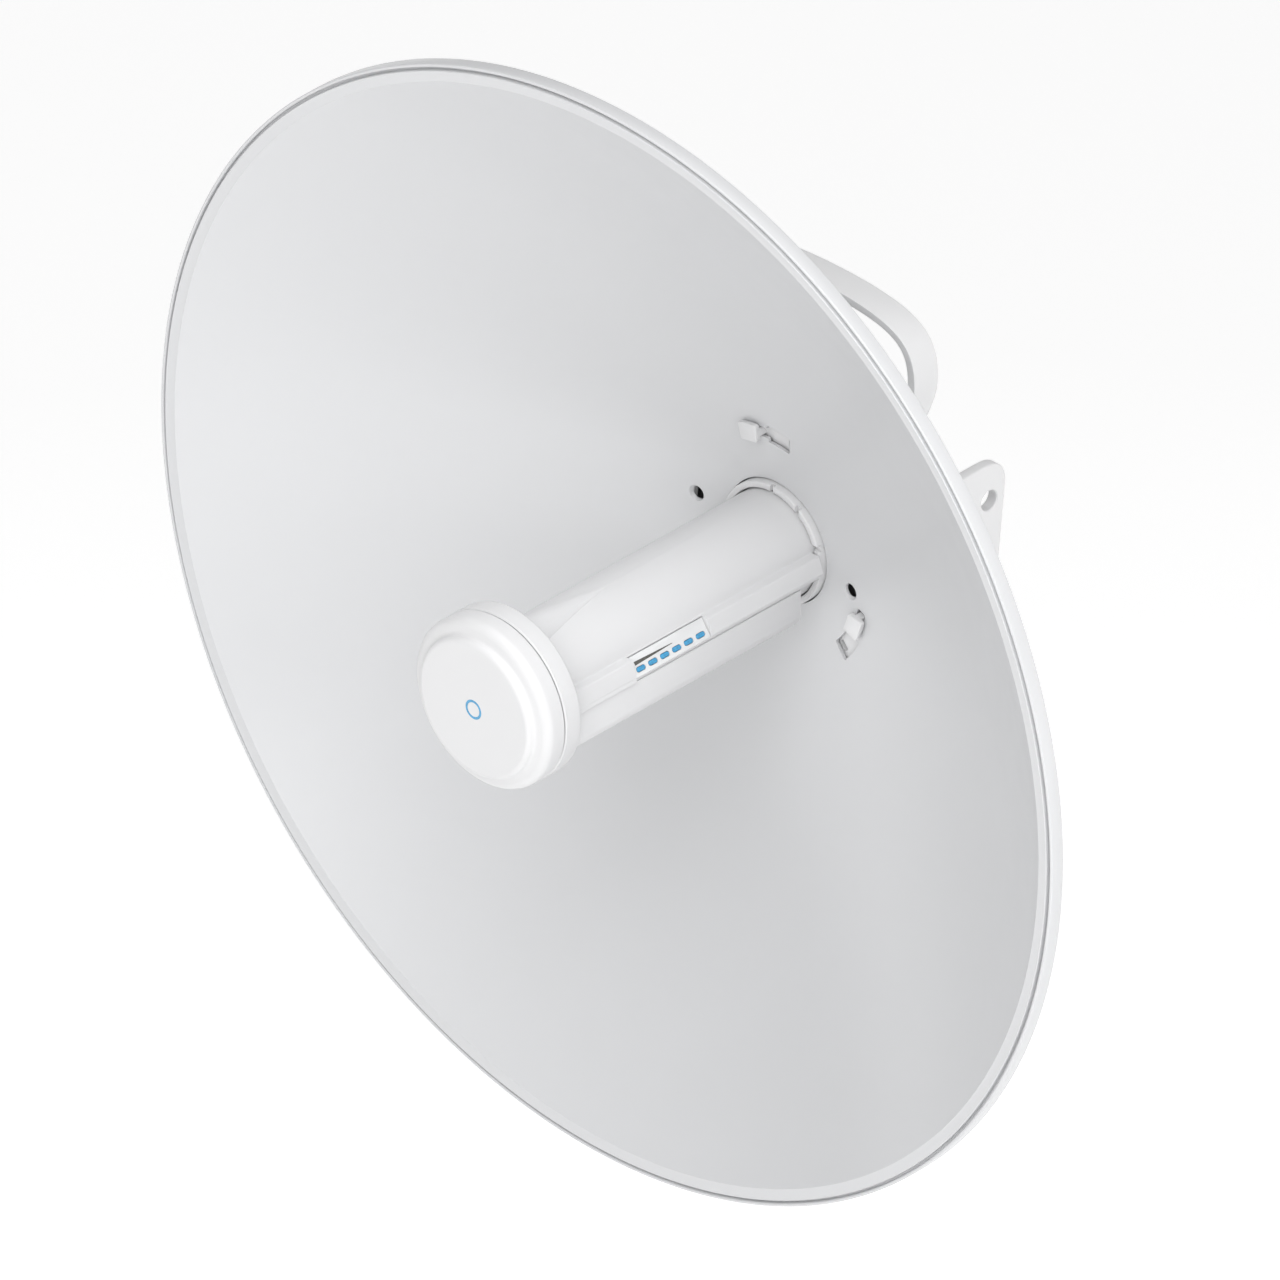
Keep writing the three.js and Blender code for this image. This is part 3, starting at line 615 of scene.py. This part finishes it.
def rear_housing():
    """The cup behind the dish, with its ears, its front flange and the three hooks."""
    inner = HOUSING_RADIUS - WALL
    floor = HOUSING_BACK - WALL
    profile = [(0, HOUSING_BACK)]
    profile += arc((HOUSING_RADIUS - 5, HOUSING_BACK - 5), 5, 90, 0, 10)
    profile += [(HOUSING_RADIUS, bowl_back(HOUSING_RADIUS) + 1.2)]
    profile += [(HOUSING_RADIUS - 0.6, bowl_back(HOUSING_RADIUS) + 0.6)]
    profile += [(inner, bowl_back(inner) + 0.6)]
    profile += [(inner, floor - 3), (inner - 1, floor - 1), (inner - 3, floor), (0, floor)]
    cup = turned("housing_cup", profile, 160)
    additions = [cheek(-1), cheek(1), front_flange(inner)]
    head_front = bowl_front(HOOK_CIRCLE + 5) - 3
    for angle in HOOK_ANGLES:
        stem = arc_band(HOOK_CIRCLE - 1.9, HOOK_CIRCLE + 1.9, angle + 2, angle + 13, 8, 0.5)
        head = arc_band(HOOK_CIRCLE - 4.1, HOOK_CIRCLE + 4.1, angle + 2, angle + 13, 8, 0.8)
        stem_rear = bowl_back(HOOK_CIRCLE) + 2
        additions.append(pushed("hook_stem", stem, "y", head_front + 1, stem_rear))
        head = pushed("hook_head", head, "y", head_front, head_front + 2.5)
        additions.append(bevel(head, 0.5, 2))
    join(cup, *additions)
    latch_x = (-BUTTON_HALF - 0.4, BUTTON_HALF + 0.4)
    latch = block("latch_tool", latch_x, (BUTTON_Y[0] - 0.4, BUTTON_Y[1] + 0.4), (55, 70))
    cable = block("cable_tool", CABLE_X, (floor - 1, HOUSING_BACK + 1), CABLE_Z)
    tools = [latch, cable]
    for angle in SCREW_ANGLES:
        hole = rod("screw_tool", "x", 58, 75, (0, 0), 2.3, 40)
        tools.append(aimed_out(hole, angle, SCREW_Y))
    for angle in HOOK_ANGLES:
        catch = arc_band(HOOK_CIRCLE - 3.6, HOOK_CIRCLE + 1.4, angle - 15, angle - 12.4, 6, 0.5)
        tools.append(pushed("catch_tool", catch, "y", -6, 12))
    for x in (-24, 24):
        corners = [(x - 7, 27, 3), (x + 7, 27, 3), (x + 7, 41, 3), (x - 7, 41, 3)]
        tools.append(pushed("rib_tool", rounded(corners), "y", HOUSING_BACK - 0.6, 40))
    cut(cup, *tools)
    return done(cup, "antenna", "shell", "rear_housing")


def feed_socket():
    """The collar that the feed plugs into, with the notches of its front edge."""
    floor = HOUSING_BACK - WALL
    profile = arc((SOCKET_OUTER - 0.7, SOCKET_FRONT + 0.7), 0.7, 360, 270, 4)
    profile += arc((SOCKET_BORE + 0.7, SOCKET_FRONT + 0.7), 0.7, 270, 180, 4)
    profile += [(SOCKET_BORE, floor - GAP), (SOCKET_OUTER, floor - GAP)]
    collar = turned("feed_collar", profile, 160)
    notch_y = (SOCKET_FRONT - 1, SOCKET_FRONT + 2)
    cut(
        collar,
        block("notch_tool", (-1, 1), notch_y, (15, 32)),
        block("notch_tool", (14, 16), notch_y, (15, 32)),
        block("notch_tool", (20, 30), notch_y, (7.5, 10)),
        block("tooth_tool", (-5.5, 5.5), TOOTH_HOLE_Y, (-SOCKET_OUTER - 1, -SOCKET_BORE + 1)),
    )
    return done(collar, "antenna", "shell", "feed_socket")


def hoop_outline(foot, bend, half, top):
    """One outline of the hoop, from its right foot over the top to its left foot."""
    (fx, fz), (bx, bz) = foot, bend
    points = [(fx, fz)]
    points += bezier((fx, fz), (bx, bz), (half, 78), (half, 90), 16)
    points += bezier((half, 90), (half, 109), (half * 0.9, top), (0, top), 28)
    points += bezier((0, top), (-half * 0.9, top), (-half, 109), (-half, 90), 28)
    points += bezier((-half, 90), (-half, 78), (-bx, bz), (-fx, fz), 16)
    return points


def carry_handle():
    """The hoop and its strap over the housing. Its cuts come before its rounding."""
    start, end = HOOP_Y
    outer = hoop_outline(polar(STRAP_INNER, 48.7), (50, 66), HOOP_HALF, HOOP_TOP)
    outer += arc((0, 0), STRAP_INNER, 180 - 48.7, 48.7, 32)[1:-1]
    hole_half, hole_top = HOOP_HALF - HOOP_SHEET, HOOP_TOP - HOOP_SHEET
    hole = hoop_outline(polar(STRAP_OUTER, 54.5), (47.5, 68), hole_half, hole_top)
    hole += arc((0, 0), STRAP_OUTER, 180 - 54.5, 54.5, 28)[1:-1]
    loop = pushed("carry_loop", outer, "y", start, end)
    step = [(start - 1, 74), (start, 74), (HOOP_FRONT, 84), (HOOP_FRONT, HOOP_TOP + 1)]
    step += [(start - 1, HOOP_TOP + 1)]
    cut(
        loop,
        pushed("hand_tool", hole, "y", start - 1, end + 1),
        pushed("step_tool", step, "x", -60, 60),
        block("button_tool", (-BUTTON_HALF - 1, BUTTON_HALF + 1), (18, 31), (60, 74)),
    )
    bevel(loop, 1.1, 4, 50)
    return done(loop, "antenna", "shell", "carry_handle")


def handle_screw(angle, node):
    """A screw of the carry loop, with a cross in its head."""
    seat = STRAP_OUTER + GAP
    profile = [(0, 59), (2, 59), (2, seat), (4, seat), (4, seat + 1)]
    profile += [(3.6, seat + 2), (2.6, seat + 2.6), (0, seat + 2.7)]
    screw = aimed_out(turned("loop_screw", profile, 48, axis="x"), angle, SCREW_Y)
    for across, along in ((0.45, 2.4), (2.4, 0.45)):
        blade = [(-across, -along), (across, -along), (across, along), (-across, along)]
        tool = pushed("drive_tool", blade, "x", seat + 1.2, seat + 5)
        cut(screw, aimed_out(tool, angle, SCREW_Y))
    return done(screw, "antenna", "zinc", node)


def feed_latch():
    """The release button, the frame round the collar and the tooth under it."""
    inner = SOCKET_OUTER + 0.6
    outer = inner + 4
    top = LATCH_TRAVEL + 0.4
    rim = arc((0, top), outer, 0, 180, 40) + arc((0, -0.4), outer, 180, 360, 40)
    clear = arc((0, top), inner, 0, 180, 40) + arc((0, -0.4), inner, 180, 360, 40)
    latch = pushed("latch_frame", rim, "y", *LATCH_Y)
    cut(latch, pushed("clear_tool", clear, "y", 20, 30))
    button = block("latch_button", (-BUTTON_HALF, BUTTON_HALF), BUTTON_Y, (58, 75))
    bevel(button, 1.2, 4)
    grooves = [
        rod("groove_tool", "y", BUTTON_Y[0] - 1, BUTTON_Y[1] + 1, (x, 75.6), 0.9, 24)
        for x in (-4, -2, 0, 2, 4)
    ]
    cut(button, *grooves)
    join(
        latch,
        block("latch_stem", (-4, 4), LATCH_Y, (LATCH_TRAVEL + inner + 2, 60)),
        button,
        block("latch_tooth", (-5, 5), LATCH_Y, (-inner - 2, -SOCKET_BORE - GAP)),
    )
    return done(latch, "latch", "shell", "feed_latch")


# ----------------------------------------------------------------------- feed
def shell_outline(foot):
    """The arch and both shoulders, with small fillets where they meet."""
    arch_foot = 14.8
    under = (SHELL_BOTTOM[0] + 0.2, max(foot[1] - 0.6, SHELL_BOTTOM[1] + 0.1))
    right = rounded(
        [
            (0, -20, 0),
            (*SHELL_BOTTOM, 0),
            (*under, 0),
            (*foot, 0.5),
            (*SHOULDER_TOP, 0.9),
            (*polar(ARCH_RADIUS, arch_foot), 0.8),
            (*polar(ARCH_RADIUS, arch_foot + 6), 0),
        ],
        4,
    )[1:-1]
    left = [(-x, z) for x, z in reversed(right)]
    return right + arc((0, 0), ARCH_RADIUS, arch_foot + 6, 180 - arch_foot - 6, 72) + left


def panel_place(piece):
    """Moves a piece made on the panel's own axes (u, v, w) onto the shoulder."""
    s, c = math.sin(PANEL_TILT), math.cos(PANEL_TILT)
    middle = (PANEL_TOP[0] + PANEL_FOOT[0]) / 2, (PANEL_TOP[1] + PANEL_FOOT[1]) / 2
    turn = Matrix(((0, -s, c, 0), (1, 0, 0, 0), (0, c, s, 0), (0, 0, 0, 1)))
    shift = Matrix.Translation(Vector((middle[0], 0, middle[1])) * MM)
    centre = Matrix.Translation(ORIGIN)
    piece.data.transform(centre @ shift @ turn @ centre.inverted())
    return outward(piece)


def panel_block(name, u, v, w):
    outline = [(u[0], v[0]), (u[1], v[0]), (u[1], v[1]), (u[0], v[1])]
    return panel_place(pushed(name, outline, "z", *w))


def swelling():
    """A half-cone on top of the arch that sinks into it towards the dish."""
    radius, centre, tip = 12.6, 18.1, -97
    steps = 40
    vertices = []
    for i in range(steps):
        a = 2 * math.pi * i / steps
        vertices.append((radius * math.cos(a), SHELL_FRONT, centre + radius * math.sin(a)))
    vertices.append((0, tip, ARCH_RADIUS - 0.3))
    faces = [list(range(steps))]
    faces += [[i, (i + 1) % steps, steps] for i in range(steps)]
    return outward(new_piece("swelling", vertices, faces))


def feed_tube():
    """The arched tube with its shoulders, its round front and rear ends and its bore."""
    shell = pushed("feed_shell", shell_outline(REAR_FOOT), "y", SHELL_FRONT, SHELL_REAR)
    join(
        shell,
        pushed("front_shell", shell_outline(FRONT_FOOT), "y", SHELL_FRONT, PANEL_SPAN[0]),
        rod("spigot", "y", -166.5, SHELL_FRONT + GAP, (0, 0), 30, 96),
        rod("plug_end", "y", COVER_REAR, TUBE_REAR, (0, 0), ARCH_RADIUS, 128),
        swelling(),
    )
    cut(shell, rod("bore_tool", "y", -168, TUBE_REAR - WALL, (0, 0), BORE_RADIUS, 96))
    ledges = []
    for side in (-1, 1):
        x = tuple(sorted((side * 22.5, side * 19.4)))
        ledges.append(block("ledge", x, (-146, 20), (1.1, 5)))
        ledges.append(block("ledge", x, (-146, 20), (SHELL_BOTTOM[1], -1.1)))
    join(shell, *ledges)
    lamps = (LED_FIRST_Y - 3, LED_LAST_Y + 3)
    cut(
        shell,
        block("pocket_tool", (-5.5, 5.5), TOOTH_HOLE_Y, (-27, -ARCH_RADIUS + 1.2)),
        block("cable_tool", CABLE_X, (TUBE_REAR - 5, TUBE_REAR + 1), CABLE_Z),
        panel_block("panel_tool", PANEL_SPAN, (-7, 5), (-1.3, 8)),
        panel_block("lamp_tool", lamps, (LED_V - 1.4, LED_V + 1.4), (-2.6, 1)),
        block("guide_tool", (20, 28.2), lamps, (-0.7, 2.1)),
    )
    return done(shell, "feed", "shell", "feed_tube", angle=26)


def pill(length, width, steps=8):
    """An outline with round ends, along u."""
    radius = width / 2
    straight = length / 2 - radius
    return arc((straight, 0), radius, -90, 90, steps) + arc((-straight, 0), radius, 90, 270, steps)


def led_y(i):
    return LED_FIRST_Y + i * LED_PITCH


def lamp_panel():
    """The clear strip on the shoulder and the lamps' lenses in its openings."""
    span = (PANEL_SPAN[0] + GAP, PANEL_SPAN[1] - GAP)
    half = PANEL_WIDTH / 2
    low, high = -half, half - 0.3
    corners = [(span[0], low, 0.5), (span[1], low, 0.5)]
    corners += [(span[1], high, 0.5), (span[0], high, 0.5)]
    window = panel_place(pushed("lamp_window", rounded(corners), "z", -1, 0))
    bevel(window, 0.18, 2)
    tools = []
    for i in range(LED_COUNT):
        outline = [(led_y(i) + u, LED_V + v) for u, v in pill(5.5, 2.5)]
        tools.append(panel_place(pushed("lamp_tool", outline, "z", -3, 1)))
    cut(window, *tools)
    done(window, "feed", "window", "led_window")
    for i in range(LED_COUNT):
        outline = [(led_y(i) + u, LED_V + v) for u, v in pill(5.1, 2.1)]
        lens = panel_place(pushed(f"lamp_lens_{i + 1}", outline, "z", -2.3, 0.1))
        bevel(lens, 0.25, 3)
        done(lens, "feed", "led", f"led_lens_{i + 1}")


def level_wedge():
    """A printed wedge over the lamps: a plain sign for a rising level."""
    start, end = led_y(0) - 2.2, led_y(3) - 1
    outline = [(start, 0.2), (start, 1.9), (end, 1.2), (end, 0.9)]
    wedge = panel_place(pushed("level_wedge", outline, "z", -0.02, 0.02))
    return done(wedge, "feed", "print", slot="black")


def trough_outline(inset, top):
    half = 30 - inset
    bottom = -24 + inset
    corner = 8 - inset
    points = [(half, top), (-half, top)]
    points += arc((-half + corner, bottom + corner), corner, 180, 270, 12)
    points += arc((half - corner, bottom + corner), corner, 270, 360, 12)
    return points


def lower_cover():
    skin = 2.4
    front = RING_REAR + 3 * GAP
    rim = SHELL_BOTTOM[1] - GAP
    trough = pushed("lower_trough", trough_outline(0, rim), "y", front, COVER_REAR - GAP)
    bevel(trough, 0.5, 2, 50)
    hollow = pushed("hollow_tool", trough_outline(skin, rim + 1), "y", front + skin, COVER_REAR + 1)
    horn = rod("horn_tool", "y", front - 1, front + skin + 1, (0, 0), BORE_RADIUS, 96)
    cut(trough, hollow, horn)
    return done(trough, "cover", "shell", "lower_cover")


def cap_ring():
    bore = 30.3
    profile = [(bore, RING_FRONT), (CAP_RADIUS - 0.5, RING_FRONT), (CAP_RADIUS, RING_FRONT + 0.5)]
    profile += arc((CAP_RADIUS - 1.6, RING_REAR - 1.6), 1.6, 0, 90, 6)
    profile += [(bore, RING_REAR)]
    ring = turned("cap_collar", profile, 192)
    return done(ring, "feed", "shell", "cap_ring")


def feed_cap():
    face = CAP_FACE
    profile = [(0, face), (30.2, face)]
    profile += arc((30.2, face + 2.4), 2.4, 270, 352, 7)
    profile += [(32.9, face + 3.0), (33.5, face + 3.5), (34.6, face + 3.8)]
    profile += arc((CAP_RADIUS - 4.6, face + 8.5), 4.6, 282, 360, 10)
    profile += [(CAP_RADIUS, CAP_REAR - 0.5), (CAP_RADIUS - 0.5, CAP_REAR), (37.1, CAP_REAR)]
    profile += [(36.7, face + 8), (31, face + 6.2), (30, face + 2.6), (0, face + 2.6)]
    cap = turned("radome_cap", profile, 192)
    return done(cap, "feed", "shell", "feed_cap")


def aim_mark():
    """A plain printed ring in the middle of the cap."""
    front, rear = CAP_FACE - 0.02, CAP_FACE + 0.03
    profile = [(3.4, front), (4.6, front), (4.6, rear), (3.4, rear)]
    return done(turned("aim_mark", profile, 64), "feed", "led")


# ------------------------------------------------------------------ pole clamp
def refined(node, body, material, width, angle=32):
    """A copy of a CAD solid with its facets merged and its edges eased."""
    mesh = nodes[node].data.copy()
    piece = bpy.data.objects.new(f"{node}_eased", mesh)
    bpy.context.scene.collection.objects.link(piece)
    work = bmesh.new()
    work.from_mesh(mesh)
    bmesh.ops.remove_doubles(work, verts=work.verts, dist=0.02 * MM)
    bmesh.ops.dissolve_limit(
        work,
        angle_limit=0.5 * DEG,
        verts=work.verts,
        edges=work.edges,
        use_dissolve_boundaries=False,
    )
    work.to_mesh(mesh)
    work.free()
    bevel(piece, width, 3, angle)
    return done(piece, body, material, node, angle=angle)


def thread(length, radius, pitch=1.25):
    """A bolt's outline from its tip, with a ridge for each turn of the thread."""
    depth = 0.35
    points = [(0, -length), (radius - 0.9, -length), (radius - depth, -length + 0.8)]
    turns = int((length - 2) / pitch)
    for i in range(turns):
        at = -length + 1 + i * pitch
        points += [(radius - depth, at), (radius, at + pitch * 0.4), (radius, at + pitch * 0.6)]
    return points


def crosswise(node):
    """Where a piece that lies along x is: its (y, z) centre, its start and its end."""
    low, high = own_box(node)
    return ((low.y + high.y) / 2, (low.z + high.z) / 2), low.x, high.x


def carriage_bolt(node, body, length):
    """A threaded bolt with a domed head, in the place of a CAD node."""
    centre, _, end = crosswise(node)
    under_head = end - 4
    profile = [(r, under_head + x) for r, x in thread(length, 3.9)]
    profile += [(3.9, under_head), (8.6, under_head), (9, under_head + 0.5)]
    for i in range(1, 8):
        a = i / 8 * 90 * DEG
        profile.append((9 * math.cos(a), under_head + 0.5 + 3.5 * math.sin(a)))
    profile.append((0, under_head + 4))
    bolt = turned(f"{node}_threaded", profile, 48, centre, "x")
    return done(bolt, body, "zinc", node)


def hex_nut(node, body):
    centre, start, end = crosswise(node)
    corners = arc(centre, 7.4, 30, 330, 5)
    nut = pushed(f"{node}_hex", corners, "x", start, end)
    profile = [(0, start - 1), (6.1, start - 1), (6.6, start), (7.45, start + 0.9)]
    profile += [(7.45, end - 0.9), (6.6, end), (6.1, end + 1), (0, end + 1)]
    combine(nut, "INTERSECT", [turned("chamfer_tool", profile, 64, centre, "x")])
    cut(nut, turned("bore_tool", flared_hole((start, end), 4.2, 0.4), 48, centre, "x"))
    return done(nut, body, "zinc", node)


def plain_washer(node, body):
    centre, start, end = crosswise(node)
    profile = [(4.3, start + 0.1), (4.5, start), (7.9, start), (8.2, start + 0.3)]
    profile += [(8.2, end - 0.3), (7.9, end), (4.5, end), (4.3, end - 0.1)]
    ring = turned(f"{node}_flat", profile, 64, centre, "x")
    return done(ring, body, "zinc", node)


# ------------------------------------------------------------------- assembly
dish()
rear_housing()
feed_socket()
carry_handle()
handle_screw(SCREW_ANGLES[0], "handle_screw_right")
handle_screw(SCREW_ANGLES[1], "handle_screw_left")
feed_latch()

feed_tube()
lamp_panel()
level_wedge()
lower_cover()
cap_ring()
feed_cap()
aim_mark()

refined("pole_bracket", "bracket", "aluminium", 0.8)
refined("pole_jaw", "jaw", "aluminium", 0.8)
for name in ("pivot", "lock"):
    carriage_bolt(f"{name}_bolt", "bracket", 20)
    plain_washer(f"{name}_washer", "bracket")
    hex_nut(f"{name}_nut", "bracket")
for name in ("front", "rear"):
    carriage_bolt(f"jaw_bolt_{name}", "bracket", 100)
    plain_washer(f"jaw_washer_{name}", "jaw")
    hex_nut(f"jaw_nut_{name}", "jaw")

finishes = {entry["node"]: entry["material_slot"] for entry in frame["record"]["subparts"]}
for name, node in nodes.items():
    node.data.materials.clear()
    node.data.materials.append(MATERIALS[finishes[name]])

# --------------------------------------------------------- floor, light, camera
def floor():
    """A white floor whose glow rises with distance, so that the background stays white."""
    half = FLOOR_HALF_M
    z = cad_bounds[0].z - FLOOR_DROP_M
    corners = [(-half, -half, z), (half, -half, z), (half, half, z), (-half, half, z)]
    mesh = bpy.data.meshes.new("floor")
    mesh.from_pydata(corners, [], [(0, 1, 2, 3)])
    plane = bpy.data.objects.new("floor", mesh)
    bpy.context.scene.collection.objects.link(plane)
    made = Nodes("white_floor")
    shader = made.shader
    shader.inputs["Base Color"].default_value = (0.93, 0.93, 0.93, 1)
    shader.inputs["Roughness"].default_value = 0.9
    shader.inputs["Emission Color"].default_value = (1, 1, 1, 1)
    place = made.add("ShaderNodeTexCoord")
    distance = made.add("ShaderNodeVectorMath")
    distance.operation = "LENGTH"
    made.link(place.outputs["Object"], distance.inputs[0])
    glow = made.add("ShaderNodeMapRange", From_Min=1.5, From_Max=4.5, To_Min=0.32, To_Max=0.8)
    made.link(distance.outputs["Value"], glow.inputs["Value"])
    made.link(glow.outputs["Result"], shader.inputs["Emission Strength"])
    mesh.materials.append(made.material)


def soft_box(name, position, target, size, power):
    light = bpy.data.lights.new(name, "AREA")
    light.shape = "SQUARE"
    light.size = size
    light.energy = power
    lamp = bpy.data.objects.new(name, light)
    lamp.location = position
    lamp.rotation_euler = (target - position).to_track_quat("-Z", "Y").to_euler()
    bpy.context.scene.collection.objects.link(lamp)


def lights():
    """Five soft boxes round the feed, each (direction, watts), and a dim white world."""
    world = bpy.data.worlds.new("studio")
    world.use_nodes = True
    background = world.node_tree.nodes["Background"]
    background.inputs["Color"].default_value = (1, 1, 1, 1)
    background.inputs["Strength"].default_value = 0.2
    bpy.context.scene.world = world
    target = to_world(0, -80, 0)
    boxes = {
        "overhead": ((0, 0, 1), 40),
        "front_high": ((0.3, -0.8, 1), 20),
        "right_front": ((0.6, -0.6, 0.6), 62),
        "left_front": ((-0.6, -0.6, 0.6), 5),
        "right_rear": ((1, 0.4, 0.25), 24),
    }
    for name, (direction, power) in boxes.items():
        position = target + Vector(direction).normalized() * LAMP_DISTANCE_M
        soft_box(name, position, target, LAMP_SIZE_M, power)


def camera():
    """A distant camera with a long lens, aimed beside the centre of the dish's rim."""
    level = math.cos(ELEVATION)
    back = Vector((math.sin(AZIMUTH) * level, -math.cos(AZIMUTH) * level, math.sin(ELEVATION)))
    right = Vector((math.cos(AZIMUTH), math.sin(AZIMUTH), 0))
    up = back.cross(right)
    rim_centre = to_world(0, bowl_front(BOWL_RADIUS), 0)
    aim = rim_centre + (right * AIM_RIGHT - up * AIM_DOWN) * MM
    data = bpy.data.cameras.new("camera")
    data.sensor_width = SENSOR
    data.lens = PIXELS_PER_MM * CAMERA_DISTANCE_M / MM * SENSOR / IMAGE_WIDTH
    data.clip_end = 200
    eye = bpy.data.objects.new("camera", data)
    axes = Matrix((right, up, back)).transposed().to_4x4()
    eye.matrix_world = Matrix.Translation(aim + back * CAMERA_DISTANCE_M) @ axes
    bpy.context.scene.collection.objects.link(eye)
    bpy.context.scene.camera = eye


floor()
lights()
camera()
bpy.context.scene.view_settings.view_transform = "Standard"
